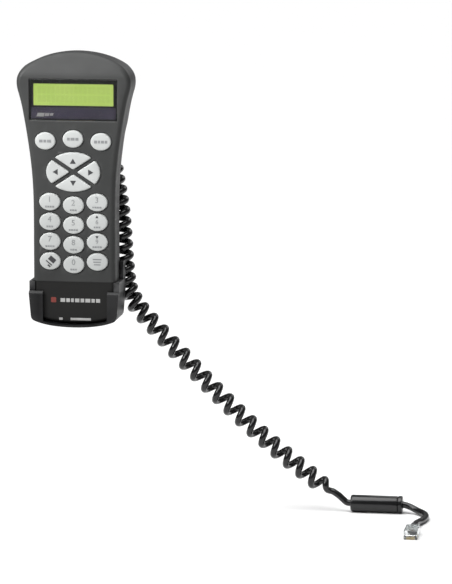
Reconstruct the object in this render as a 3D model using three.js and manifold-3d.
// A telescope hand controller standing in its holder, with its curly cord.
// Millimetres, +Z up, the key face looks along -Y. The whole object is drawn in "face" coordinates:
// X across the face, Y back from the face, Z up from the holder's floor. One group then moves that
// frame so that the origin is the centre of the holder's rear mounting face.
import * as THREE from 'three';
import { mergeVertices } from 'three/addons/utils/BufferGeometryUtils.js';
import Module from 'manifold-3d';

const wasm = await Module();
wasm.setup();

// ---------- driving dimensions ----------

const gap = 0.3; // between pieces that touch
const wall = 2.3; // moulded case wall

const face = {
  top: 198.6,
  bottom: 2,
  gripHalf: 30,
  gripDepth: 24,
  headDepth: 30,
  parting: 11,
  edge: 2.4,
};

const display = { halfWidth: 31.8, low: 150.2, high: 179.5 };
const lcd = { halfWidth: 29.2, low: 159.2, high: 176.3 };
const lcdModule = { halfWidth: 33.4, low: 151.5, high: 182.5 };

const key = {
  proud: 1.5, // how far a cap stands above the face
  travel: 1.5,
  clearance: 0.3,
  flange: 0.65,
  flangeFront: 2.7,
  flangeBack: 3.5,
};
const topKey = { width: 15, height: 12.6, pitch: 20.3, z: 135.2, middleRise: 1.7 };
const padKey = { width: 15.5, height: 12.7, pitch: 17.3, firstRow: 91.2, rowPitch: 14.4, middleDrop: 2.3 };
const arrowPad = { z: 113, halfWidth: 19.8, halfHeight: 14.3, halfGap: 1.4, slope: 0.65 };

const board = { front: 6.9, back: 8.5 };
const mat = { front: key.flangeBack + key.travel + gap, back: 6.4 };

const recess = { left: -28, right: 17, front: 12.6, ceiling: 30, wall: 1.6 };
const plugAt = { x: -19.6, y: 17.6 };
const serialAt = { x: 8.6, y: 17.6 };
const socketMouth = 32.3;
const plugSize = { width: 9.65, depth: 6.6, length: 21, inserted: 11.5 };

const holder = {
  halfTop: 33,
  halfBottom: 31.2,
  cheekRim: 26,
  sideRim: 33,
  backRim: 46,
  front: -2.9,
  back: 27,
  floor: 1.6,
  cheekLeft: -23,
  cheekRight: 25,
  clearance: 0.4,
};
const spine = { half: 15, front: 27.3, back: 45, foot: 5, saddle: 108, web: 4, plate: 3.6 };
const mountHeight = 66;

const bootSize = { length: 9.2, wide: 3.3, narrow: 2.9 };
const wire = 4.8; // cord diameter
const coilOuter = 15; // outer diameter of the curly part
const floorLevel = -136; // the surface that the far end of the cord lies on

// ---------- solids ----------

function toSolid(geometry) {
  const bare = geometry.clone();
  bare.deleteAttribute('normal');
  bare.deleteAttribute('uv');
  const merged = mergeVertices(bare, 1e-4);
  const mesh = new wasm.Mesh({
    numProp: 3,
    vertProperties: new Float32Array(merged.attributes.position.array),
    triVerts: new Uint32Array(merged.index.array),
  });
  return new wasm.Manifold(mesh);
}

function toGeometry(solid) {
  const mesh = solid.getMesh();
  const count = mesh.vertProperties.length / mesh.numProp;
  const positions = new Float32Array(count * 3);
  for (let i = 0; i < count; i += 1) {
    positions.set(mesh.vertProperties.subarray(i * mesh.numProp, i * mesh.numProp + 3), i * 3);
  }
  const geometry = new THREE.BufferGeometry();
  geometry.setAttribute('position', new THREE.BufferAttribute(positions, 3));
  geometry.setIndex(new THREE.BufferAttribute(new Uint32Array(mesh.triVerts), 1));
  geometry.computeVertexNormals();
  return geometry;
}

function block(x0, x1, y0, y1, z0, z1) {
  const geometry = new THREE.BoxGeometry(x1 - x0, y1 - y0, z1 - z0);
  geometry.translate((x0 + x1) / 2, (y0 + y1) / 2, (z0 + z1) / 2);
  return toSolid(geometry);
}

// A front-view outline given thickness from one depth to another.
function slab(shape, front, back) {
  const geometry = new THREE.ExtrudeGeometry(shape, {
    depth: back - front,
    bevelEnabled: false,
    curveSegments: 5,
  });
  geometry.rotateX(Math.PI / 2);
  geometry.translate(0, back, 0);
  return toSolid(geometry);
}

// The same with both long edges rounded.
function roundedSlab(shape, front, back, edge) {
  const geometry = new THREE.ExtrudeGeometry(shape, {
    depth: back - front - 2 * edge,
    bevelThickness: edge,
    bevelSize: edge,
    bevelOffset: -edge,
    bevelSegments: 2,
    curveSegments: 5,
  });
  geometry.rotateX(Math.PI / 2);
  geometry.translate(0, back - edge, 0);
  return toSolid(geometry);
}

// A side-view outline, drawn as [depth, height] pairs, given width along X.
function sideSlab(outline, halfWidth) {
  const shape = new THREE.Shape(outline.map(([y, z]) => new THREE.Vector2(y, z)));
  const geometry = new THREE.ExtrudeGeometry(shape, { depth: 2 * halfWidth, bevelEnabled: false });
  const turn = new THREE.Matrix4().makeBasis(
    new THREE.Vector3(0, 1, 0),
    new THREE.Vector3(0, 0, 1),
    new THREE.Vector3(1, 0, 0),
  );
  geometry.applyMatrix4(turn);
  geometry.translate(-halfWidth, 0, 0);
  return toSolid(geometry);
}

function rodAlongY(radius, x, z, y0, y1, sides = 12) {
  const geometry = new THREE.CylinderGeometry(radius, radius, y1 - y0, sides);
  geometry.translate(x, (y0 + y1) / 2, z);
  return toSolid(geometry);
}

function coneAlongZ(lowRadius, highRadius, x, y, z0, z1, sides = 12) {
  const geometry = new THREE.CylinderGeometry(highRadius, lowRadius, z1 - z0, sides);
  geometry.rotateX(Math.PI / 2);
  geometry.translate(x, y, (z0 + z1) / 2);
  return toSolid(geometry);
}

function union(solids) {
  return solids.reduce((all, one) => all.add(one));
}

// ---------- outlines ----------

// Right half of the case's outline from the foot to the crown.
function caseHalf() {
  const flank = new THREE.SplineCurve([
    new THREE.Vector2(face.gripHalf + 0.1, 9),
    new THREE.Vector2(face.gripHalf, 52),
    new THREE.Vector2(face.gripHalf + 0.1, 96),
    new THREE.Vector2(32.3, 124.6),
    new THREE.Vector2(37.4, 157),
    new THREE.Vector2(41.1, 172),
  ]);
  const shoulder = new THREE.CubicBezierCurve(
    new THREE.Vector2(41.1, 172),
    new THREE.Vector2(43.1, 180.5),
    new THREE.Vector2(40, 185),
    new THREE.Vector2(35.5, 189),
  );
  const crown = new THREE.CubicBezierCurve(
    new THREE.Vector2(35.5, 189),
    new THREE.Vector2(26, 195.6),
    new THREE.Vector2(12, face.top),
    new THREE.Vector2(0, face.top),
  );
  const foot = new THREE.CubicBezierCurve(
    new THREE.Vector2(0, face.bottom),
    new THREE.Vector2(12, face.bottom),
    new THREE.Vector2(23, face.bottom + 1.6),
    new THREE.Vector2(28.4, face.bottom + 4.4),
  );
  return [
    ...foot.getPoints(4),
    ...flank.getPoints(12),
    ...shoulder.getPoints(4).slice(1),
    ...crown.getPoints(5).slice(1),
  ];
}

// The whole outline, moved inwards by an inset along its own normals.
function caseOutline(inset) {
  const right = caseHalf();
  const left = right
    .slice(1, -1)
    .reverse()
    .map((p) => new THREE.Vector2(-p.x, p.y));
  const loop = [...right, ...left];
  const moved = loop.map((p, i) => {
    const before = loop[(i + loop.length - 1) % loop.length];
    const after = loop[(i + 1) % loop.length];
    const along = after.clone().sub(before).normalize();
    return new THREE.Vector2(p.x - along.y * inset, p.y + along.x * inset);
  });
  return new THREE.Shape(moved);
}

function rectangle(halfWidth, low, high, middle = 0) {
  return new THREE.Shape([
    new THREE.Vector2(middle - halfWidth, low),
    new THREE.Vector2(middle + halfWidth, low),
    new THREE.Vector2(middle + halfWidth, high),
    new THREE.Vector2(middle - halfWidth, high),
  ]);
}

function oval(x, z, halfWidth, halfHeight, points = 16) {
  const ellipse = new THREE.EllipseCurve(x, z, halfWidth, halfHeight, 0, 2 * Math.PI);
  return new THREE.Shape(ellipse.getPoints(points).slice(0, -1));
}

// ---------- case ----------

// The body's full form: the outline with rounded edges, trimmed by its side view, which leans back
// above the display and grows deeper behind it. Inside, the edges are square.
function caseForm(inset) {
  const grip = face.gripDepth - inset;
  const head = face.headDepth - inset;
  const front = inset;
  const shape = caseOutline(inset);
  const outline = inset > 0 ? slab(shape, front, head) : roundedSlab(shape, front, head, face.edge);
  const side = sideSlab(
    [
      [front, -10],
      [grip, -10],
      [grip, 138 + inset],
      [head, 150 + inset],
      [head, 186],
      [head - 3.5, face.top],
      [front + 7, face.top],
      [front + 2.6, 192],
      [front, 181],
    ],
    60,
  );
  return outline.intersect(side);
}

const screwSpots = [
  [-24, 188],
  [24, 188],
  [-25.6, 122],
  [25.6, 122],
  [-5, 35.6],
];

function backAt(z) {
  return z > 150 ? face.headDepth : face.gripDepth;
}

function keySpots() {
  const spots = [];
  ['left', 'middle', 'right'].forEach((side, i) => {
    const rise = i === 1 ? topKey.middleRise : 0;
    spots.push({
      name: `key_top_${side}`,
      x: (i - 1) * topKey.pitch,
      z: topKey.z + rise,
      width: topKey.width,
      height: topKey.height,
    });
  });
  const names = ['1', '2', '3', '4', '5', '6', '7', '8', '9', 'info', '0', 'menu'];
  names.forEach((name, i) => {
    const column = i % 3;
    const row = Math.floor(i / 3);
    const drop = column === 1 ? padKey.middleDrop : 0;
    spots.push({
      name: `key_${name}`,
      x: (column - 1) * padKey.pitch,
      z: padKey.firstRow - row * padKey.rowPitch - drop,
      width: padKey.width,
      height: padKey.height,
    });
  });
  return spots;
}

// One quarter of the arrow pad: the oval between two slanting cuts. grow widens it on every side.
function arrowQuarter(direction, grow, front, back) {
  const whole = slab(
    oval(0, arrowPad.z, arrowPad.halfWidth + grow, arrowPad.halfHeight + grow, 24),
    front,
    back,
  );
  const reach = 60;
  const length = Math.hypot(1, arrowPad.slope);
  const cut = arrowPad.halfGap - grow;
  const upright = direction === 'up' || direction === 'down';
  const sign = direction === 'up' || direction === 'right' ? 1 : -1;
  const start = upright ? cut * length : (cut * length) / arrowPad.slope;
  const wedge = new THREE.Shape();
  wedge.moveTo(upright ? 0 : sign * start, arrowPad.z + (upright ? sign * start : 0));
  if (upright) {
    wedge.lineTo(-reach, arrowPad.z + sign * (start + reach * arrowPad.slope));
    wedge.lineTo(reach, arrowPad.z + sign * (start + reach * arrowPad.slope));
  } else {
    wedge.lineTo(sign * (start + reach), arrowPad.z - reach * arrowPad.slope);
    wedge.lineTo(sign * (start + reach), arrowPad.z + reach * arrowPad.slope);
  }
  wedge.closePath();
  return whole.intersect(slab(wedge, front - 1, back + 1));
}

const arrows = ['up', 'down', 'left', 'right'];

function frontShell() {
  const form = caseForm(0);
  let shell = form.subtract(caseForm(wall));
  shell = shell.intersect(block(-60, 60, -5, face.parting, -5, 210));
  shell = shell.subtract(
    slab(rectangle(display.halfWidth + gap, display.low - gap, display.high + gap), -5, 6),
  );
  for (const spot of keySpots()) {
    const hole = oval(spot.x, spot.z, spot.width / 2 + key.clearance, spot.height / 2 + key.clearance);
    shell = shell.subtract(slab(hole, -5, wall + 2));
  }
  for (const direction of arrows) {
    shell = shell.subtract(arrowQuarter(direction, key.clearance, -5, wall + 2));
  }
  // The step across the face under the keys: everything below it lies a little deeper.
  shell = shell.subtract(block(-60, 60, -5, 0.6, -5, 33));
  for (const [x, z] of screwSpots) {
    const boss = rodAlongY(3, x, z, wall - 0.4, face.parting + 1);
    const hole = rodAlongY(1.6, x, z, wall + 2.5, face.parting + 2);
    shell = shell.add(boss.intersect(form)).subtract(hole);
  }
  return shell;
}

function rearShell() {
  const form = caseForm(0);
  let shell = form.subtract(caseForm(wall));
  shell = shell.intersect(block(-60, 60, face.parting + gap, 40, -5, 210));
  const lining = block(
    recess.left - recess.wall,
    recess.right + recess.wall,
    face.parting + gap,
    40,
    -5,
    recess.ceiling + recess.wall,
  );
  shell = shell.add(lining.intersect(form));
  shell = shell.subtract(block(recess.left, recess.right, recess.front, 40, -5, recess.ceiling));
  for (const at of [plugAt, serialAt]) {
    shell = shell.subtract(block(at.x - 5.6, at.x + 5.6, at.y - 4.8, at.y + 3.8, 20, 36));
  }
  for (const [x, z] of screwSpots) {
    const back = backAt(z);
    const boss = rodAlongY(4.4, x, z, face.parting + 1 + gap, back - 1);
    const well = rodAlongY(3.2, x, z, back - 8, back + 2);
    const hole = rodAlongY(1.6, x, z, 5, back);
    shell = shell.add(boss.intersect(form)).subtract(well).subtract(hole);
  }
  // Room for the front shell's bosses, which pass the parting line.
  for (const [x, z] of screwSpots) {
    shell = shell.subtract(rodAlongY(3 + gap, x, z, 5, face.parting + 1 + gap));
  }
  return shell;
}

function rearScrew([x, z]) {
  const seat = backAt(z) - 8 + gap;
  const head = rodAlongY(2.7, x, z, seat, seat + 2);
  const shank = rodAlongY(1.25, x, z, wall + 4, seat + 0.5, 8);
  return head.add(shank);
}

// ---------- display ----------

function lcdPlate(inset, front, back) {
  return slab(
    rectangle(lcdModule.halfWidth - inset, lcdModule.low + 2.2 + inset, lcdModule.high - 0.2 - inset),
    front,
    back,
  );
}

function displayParts() {
  const window = slab(rectangle(display.halfWidth, display.low, display.high), 0.35, 1.85);
  const lit = rectangle(lcd.halfWidth, lcd.low, lcd.high);
  const mask = slab(rectangle(display.halfWidth, display.low, display.high), 2.15, 2.5);
  const opening = rectangle(lcd.halfWidth + 0.8, lcd.low - 0.8, lcd.high + 0.8);
  const bezel = lcdPlate(1.2, 2.8, 7.2).subtract(slab(opening, 2, 4)).subtract(lcdPlate(2, 3.6, 9));
  return {
    window,
    mask: mask.subtract(slab(lit, 1, 4)),
    bezel,
    glass: lcdPlate(2.3, 3.9, 5.4),
    backlight: lcdPlate(2.3, 5.7, 7.2),
    carrier: slab(rectangle(lcdModule.halfWidth, lcdModule.low, lcdModule.high), 7.5, 9),
  };
}

// ---------- electronics ----------

function boardHoles(solid) {
  return screwSpots.reduce((all, [x, z]) => all.subtract(rodAlongY(3 + 2 * gap, x, z, 0, 20)), solid);
}

function keypadMat() {
  return boardHoles(slab(rectangle(26.6, 37, 144), mat.front, mat.back));
}

function mainBoard() {
  return boardHoles(slab(rectangle(26.8, 33, 149), board.front, board.back));
}

function chip(x, z, width, height, thickness) {
  const front = board.back + gap;
  return block(x - width / 2, x + width / 2, front, front + thickness, z - height / 2, z + height / 2);
}

function ribbon() {
  const runs = [
    block(-14, 14, 9.3, 9.7, 140, 158),
    block(-14, 14, board.back + gap, 9.7, 140, 142),
  ];
  return union(runs);
}

// A modular socket, open at its lower end.
function socket(at, bodyWidth, openWidth) {
  const front = board.back + gap;
  const bodyTop = socketMouth + 15;
  const body = block(at.x - bodyWidth / 2, at.x + bodyWidth / 2, front, 21.3, socketMouth, bodyTop);
  const low = socketMouth - 1;
  const high = socketMouth + 13;
  const hole = block(at.x - openWidth / 2, at.x + openWidth / 2, at.y - 3.6, at.y + 3.6, low, high);
  const keyway = block(at.x - 1.9, at.x + 1.9, at.y - 5.2, at.y - 3, low, high);
  return body.subtract(hole).subtract(keyway);
}

// ---------- keys ----------

function ovalKey(spot) {
  const cap = slab(oval(spot.x, spot.z, spot.width / 2, spot.height / 2), -key.proud, key.flangeBack);
  const flange = slab(
    oval(spot.x, spot.z, spot.width / 2 + key.flange, spot.height / 2 + key.flange),
    key.flangeFront,
    key.flangeBack,
  );
  return cap.add(flange);
}

function arrowKey(direction) {
  return arrowQuarter(direction, 0, -key.proud, key.flangeBack).add(
    arrowQuarter(direction, key.flange, key.flangeFront, key.flangeBack),
  );
}

// ---------- holder ----------

function holderOutline(half, low) {
  const shape = new THREE.Shape();
  shape.moveTo(-half, holder.backRim);
  shape.lineTo(-half, 25);
  shape.lineTo(-half + holder.halfTop - holder.halfBottom, low + 6);
  shape.quadraticCurveTo(-16, low, 0, low);
  shape.quadraticCurveTo(16, low, half - holder.halfTop + holder.halfBottom, low + 6);
  shape.lineTo(half, 25);
  shape.lineTo(half, holder.backRim);
  shape.closePath();
  return shape;
}

function cradle() {
  let body = slab(holderOutline(holder.halfTop, 0), holder.front, holder.back);
  const pocket = caseForm(-holder.clearance);
  body = body.subtract(pocket);
  // Front: open between the two cheeks, whose rims are lower than the side walls.
  body = body.subtract(block(holder.cheekLeft, holder.cheekRight, -9, 2, holder.floor, 60));
  body = body.subtract(block(-60, 60, -9, 0.2, holder.cheekRim, 60));
  body = body.subtract(block(-60, 60, -9, face.gripDepth - 6, holder.sideRim, 60));
  // The way for the plugs and the cord: through the floor, and up through the back plate.
  body = body.subtract(block(recess.left, recess.right, recess.front, face.gripDepth, -9, 12));
  body = body.subtract(block(recess.left, -spine.half - 1, recess.front, 40, -9, 60));
  return body;
}

function saddleOutline(half) {
  const shape = new THREE.Shape();
  shape.moveTo(-half, spine.foot);
  shape.lineTo(half, spine.foot);
  shape.lineTo(half, spine.saddle);
  shape.absarc(0, spine.saddle, half, 0, Math.PI, false);
  shape.closePath();
  return shape;
}

const holderScrewHeights = [14, 38];
const screwFit = { hole: 2.1, counterbore: 3.6, seat: 25.6, head: 3.2, shank: 1.35 };
const insertHeights = [36, 96];
const insertFit = { outer: 2.9, bore: 1.65 };

function spineBlock() {
  let body = slab(saddleOutline(spine.half), spine.front, spine.back);
  // Side grooves leave two plates and a web, as a moulding of even wall.
  for (const side of [-1, 1]) {
    const outer = side * (spine.half + 1);
    const inner = side * spine.web;
    body = body.subtract(
      block(
        Math.min(outer, inner),
        Math.max(outer, inner),
        spine.front + spine.plate,
        spine.back - spine.plate,
        spine.foot + 6,
        spine.saddle - 8,
      ),
    );
  }
  for (const z of holderScrewHeights) {
    body = body.subtract(rodAlongY(1.7, 0, z, spine.front - 1, spine.front + 8));
  }
  for (const z of insertHeights) {
    body = body.subtract(rodAlongY(insertFit.outer + gap, 0, z, spine.back - 9, spine.back + 1));
  }
  return body;
}

function cradleWithHoles() {
  return holderScrewHeights.reduce(
    (body, z) =>
      body
        .subtract(rodAlongY(screwFit.hole, 0, z, 20, 30))
        .subtract(rodAlongY(screwFit.counterbore, 0, z, 20, screwFit.seat)),
    cradle(),
  );
}

function holderScrew(z) {
  const seat = screwFit.seat - gap;
  const head = rodAlongY(screwFit.head, 0, z, seat - 0.9, seat);
  return head.add(rodAlongY(screwFit.shank, 0, z, seat - 0.5, spine.front + 7, 8));
}

function insert(z) {
  const body = rodAlongY(insertFit.outer, 0, z, spine.back - 8, spine.back - 0.2);
  return body.subtract(rodAlongY(insertFit.bore, 0, z, spine.back - 7, spine.back + 1));
}

// ---------- cord ----------

const coilSide = spine.half + coilOuter / 2 + 0.6;
const coilDepth = (spine.front + spine.back) / 2;

// Straight lead from the handset's plug, turning back and up beside the spine.
const bootBottom = socketMouth + plugSize.inserted - plugSize.length - gap - bootSize.length;
const turnBack = (coilDepth - plugAt.y) / 2;
const leadUpper = [
  [plugAt.x, plugAt.y, bootBottom - gap],
  [plugAt.x, plugAt.y, 11],
  [plugAt.x - 0.4, plugAt.y + 1.3, 11 - turnBack * 0.5],
  [plugAt.x - 0.9, plugAt.y + turnBack * 0.5, 11 - turnBack * 0.87],
  [plugAt.x - 1.8, plugAt.y + turnBack, 11 - turnBack],
  [plugAt.x - 2.7, coilDepth - turnBack * 0.5, 11 - turnBack * 0.87],
  [-coilSide, coilDepth - 1.3, 11 - turnBack * 0.5],
  [-coilSide, coilDepth, 11],
  [-coilSide, coilDepth, 15],
];

// Axis of the curly part: up beside the spine, over its saddle, down beside the grip, behind the
// holder's wall, then in one long sagging run to the surface.
function coilAxis() {
  const points = [
    [-coilSide, coilDepth, 15.3],
    [-coilSide, coilDepth, 45],
    [-coilSide, coilDepth, 78],
    [-coilSide, coilDepth, spine.saddle - 4],
  ];
  for (let i = 1; i <= 6; i += 1) {
    const angle = Math.PI - (i * Math.PI) / 7;
    points.push([coilSide * Math.cos(angle), coilDepth, spine.saddle + coilSide * Math.sin(angle)]);
  }
  points.push(
    [coilSide + 1.5, coilDepth - 0.4, spine.saddle - 7],
    [27.2, coilDepth - 1, 86],
    [29.2, coilDepth - 1, 66],
    [30.4, coilDepth - 0.5, 46],
    [33.1, coilDepth, 24],
    [37.8, coilDepth, 14],
    [43.6, coilDepth, 6],
    [51, coilDepth, -2.2],
    [66, coilDepth, -18.5],
    [84, coilDepth - 0.5, -37],
    [104, coilDepth - 1, -57],
    [124, coilDepth - 2, -75.5],
    [144, coilDepth - 3.5, -92.3],
    [162, coilDepth - 5, -106],
    [177, coilDepth - 6.5, -116.6],
    [187, coilDepth - 7.5, -122.6],
  );
  return points;
}

// From the coil's end through the ferrite and over the surface to the far plug.
const ferrite = { start: 199, y: coilDepth - 9, length: 38, radius: 6.1, bore: 2.9 };
const ferriteRest = floorLevel + ferrite.radius + 0.2;
const wireRest = floorLevel + wire / 2;
const basePlug = { x: 251, y: -58, z: floorLevel + plugSize.depth / 2 };
const ferriteEnd = ferrite.start + ferrite.length;
const leadLower = [
  [187.5, coilDepth - 7.6, -122.95],
  [190, coilDepth - 7.9, -124.5],
  [193, coilDepth - 8.5, -127],
  [196.2, ferrite.y, ferriteRest + 0.3],
  [ferrite.start, ferrite.y, ferriteRest],
  [ferrite.start + ferrite.length / 2, ferrite.y, ferriteRest],
  [ferriteEnd, ferrite.y, ferriteRest],
  [ferriteEnd + 5, ferrite.y - 0.6, ferriteRest - 1.2],
  [ferriteEnd + 11.5, ferrite.y - 4.4, wireRest + 0.6],
  [ferriteEnd + 17, ferrite.y - 11.6, wireRest],
  [ferriteEnd + 18.8, ferrite.y - 21, wireRest],
  [ferriteEnd + 17.6, ferrite.y - 31, wireRest],
  [ferriteEnd + 15, ferrite.y - 40.5, wireRest + 0.3],
  [basePlug.x, basePlug.y + plugSize.length + bootSize.length + 5, basePlug.z],
  [basePlug.x, basePlug.y + plugSize.length + bootSize.length + 2 * gap, basePlug.z],
];

function pathOf(points) {
  return new THREE.CatmullRomCurve3(
    points.map(([x, y, z]) => new THREE.Vector3(x, y, z)),
    false,
    'centripetal',
  );
}

function tube(points, radius, sides, steps) {
  const section = new THREE.EllipseCurve(0, 0, radius, radius, 0, 2 * Math.PI);
  const shape = new THREE.Shape(section.getPoints(sides).slice(0, -1));
  return new THREE.ExtrudeGeometry(shape, { steps, extrudePath: pathOf(points), bevelEnabled: false });
}

// A modular plug about its own axis, nose at the origin and pointing up, latch on the -Y side.
function plugSolid() {
  const half = plugSize.width / 2;
  const deep = plugSize.depth / 2;
  const body = block(-half, half, -deep, deep, -plugSize.length, 0);
  const latch = sideSlab(
    [
      [-deep + 0.4, -1.5],
      [-deep - 0.9, -3],
      [-deep - 1.2, 3 - plugSize.length],
      [-deep - 0.5, 3 - plugSize.length],
      [-deep - 0.3, -5],
      [-deep + 0.4, -5],
    ],
    1.6,
  );
  return body.add(latch);
}

// Tapered strain relief behind a plug, its wide end at the origin, pointing down.
function bootSolid() {
  return coneAlongZ(bootSize.narrow, bootSize.wide, 0, 0, -bootSize.length, 0, 10);
}

// A ring about the X axis; its section is a closed outline of [radius, x] pairs.
function ring(outline, sides = 16) {
  const points = outline.map(([radius, x]) => new THREE.Vector2(radius, x));
  const geometry = new THREE.LatheGeometry([...points, points[0].clone()], sides);
  geometry.rotateZ(-Math.PI / 2);
  return toSolid(geometry);
}

function ferriteParts() {
  const { length, radius, bore } = ferrite;
  const cap = 3.2;
  const mouth = length - cap - gap;
  return {
    case: ring([
      [bore, 0],
      [radius, 0],
      [radius, mouth],
      [radius - 1, mouth],
      [radius - 1, 3],
      [bore + 0.7, 3],
      [bore + 0.7, mouth],
      [bore, mouth],
    ]),
    core: ring([
      [bore + 1, 3 + gap],
      [radius - 1 - gap, 3 + gap],
      [radius - 1 - gap, mouth - gap],
      [bore + 1, mouth - gap],
    ]),
    cap: ring([
      [bore, length - cap],
      [radius + 0.2, length - cap],
      [radius + 0.2, length],
      [bore, length],
    ]),
  };
}

// ---------- assembly ----------

const finish = {
  caseGrey: [0x3b3b3d, 0.6, 0],
  caseDark: [0x222224, 0.55, 0],
  holderBlack: [0x1c1c1e, 0.55, 0],
  keyGrey: [0xdadcda, 0.6, 0],
  glass: [0x9fb7a8, 0.1, 0],
  lcdGreen: [0xaacb6a, 0.35, 0],
  maskBlack: [0x2a2830, 0.35, 0],
  metal: [0xb4b7ba, 0.35, 1],
  brass: [0xc8a24a, 0.35, 1],
  boardGreen: [0x1f5a35, 0.55, 0],
  chipBlack: [0x18181a, 0.5, 0],
  silicone: [0xc9cbc8, 0.75, 0],
  film: [0xd8c9a0, 0.5, 0],
  cordBlack: [0x131314, 0.35, 0],
  labelSilver: [0xc4c6c8, 0.4, 0],
  clear: [0xd7dcdc, 0.15, 0],
};

const object = new THREE.Group();
object.position.set(0, -spine.back, -mountHeight);

function addGeometry(name, geometry, [color, roughness, metalness]) {
  const material = new THREE.MeshStandardMaterial({ color, roughness, metalness });
  const mesh = new THREE.Mesh(geometry, material);
  mesh.name = name;
  object.add(mesh);
  return mesh;
}

function add(name, solid, look) {
  return addGeometry(name, toGeometry(solid), look);
}

add('holder_cradle', cradleWithHoles(), finish.holderBlack);
add('holder_spine', spineBlock(), finish.holderBlack);
holderScrewHeights.forEach((z, i) => add(`holder_screw_${i + 1}`, holderScrew(z), finish.metal));
insertHeights.forEach((z, i) => add(`holder_insert_${i + 1}`, insert(z), finish.brass));

add('front_shell', frontShell(), finish.caseGrey);
add('rear_shell', rearShell(), finish.caseDark);
screwSpots.forEach((spot, i) => add(`rear_screw_${i + 1}`, rearScrew(spot), finish.metal));
const labelOutline = rectangle(24, 158, 178);
add('rear_label', slab(labelOutline, face.headDepth + gap, face.headDepth + 0.6), finish.labelSilver);

const shown = displayParts();
add('display_window', shown.window, finish.glass);
add('display_mask', shown.mask, finish.maskBlack);
add('lcd_bezel', shown.bezel, finish.metal);
add('lcd_glass', shown.glass, finish.lcdGreen);
add('lcd_backlight', shown.backlight, finish.clear);
add('lcd_board', shown.carrier, finish.boardGreen);

add('keypad_mat', keypadMat(), finish.silicone);
add('main_board', mainBoard(), finish.boardGreen);
add('processor', chip(0, 108, 14, 14, 1.6), finish.chipBlack);
add('memory_chip', chip(-14, 84, 9, 12, 1.4), finish.chipBlack);
add('line_driver', chip(12, 62, 7, 10, 1.4), finish.chipBlack);
add('clock_crystal', chip(13, 88, 4.6, 11, 3.2), finish.metal);
add('lcd_ribbon', ribbon(), finish.film);
add('cord_socket', socket(plugAt, 12.4, 10.3), finish.chipBlack);
add('serial_socket', socket(serialAt, 11, 8.2), finish.chipBlack);

for (const spot of keySpots()) {
  add(spot.name, ovalKey(spot), finish.keyGrey);
}
for (const direction of arrows) {
  add(`key_${direction}`, arrowKey(direction), finish.keyGrey);
}

const noseTop = socketMouth + plugSize.inserted;
const plugFoot = noseTop - plugSize.length;
add('handset_plug', plugSolid(), finish.clear).position.set(plugAt.x, plugAt.y, noseTop);
add('handset_boot', bootSolid(), finish.cordBlack).position.set(plugAt.x, plugAt.y, plugFoot - gap);
addGeometry('cord_lead_upper', tube(leadUpper, wire / 2, 8, 10), finish.cordBlack);
addGeometry('cord_coil', tube(coilAxis(), coilOuter / 2, 10, 36), finish.cordBlack);
addGeometry('cord_lead_lower', tube(leadLower, wire / 2, 8, 18), finish.cordBlack);

const choke = ferriteParts();
add('ferrite_case', choke.case, finish.cordBlack).position.set(ferrite.start, ferrite.y, ferriteRest);
add('ferrite_core', choke.core, finish.chipBlack).position.set(ferrite.start, ferrite.y, ferriteRest);
add('ferrite_cap', choke.cap, finish.cordBlack).position.set(ferrite.start, ferrite.y, ferriteRest);

// The far plug lies on its flat side, nose towards -Y, latch up.
const lying = new THREE.Euler(Math.PI / 2, 0, Math.PI);
const farPlug = add('base_plug', plugSolid(), finish.clear);
farPlug.position.set(basePlug.x, basePlug.y, basePlug.z);
farPlug.rotation.copy(lying);
const farBoot = add('base_boot', bootSolid(), finish.cordBlack);
farBoot.position.set(basePlug.x, basePlug.y + plugSize.length + gap, basePlug.z);
farBoot.rotation.copy(lying);

export default object;
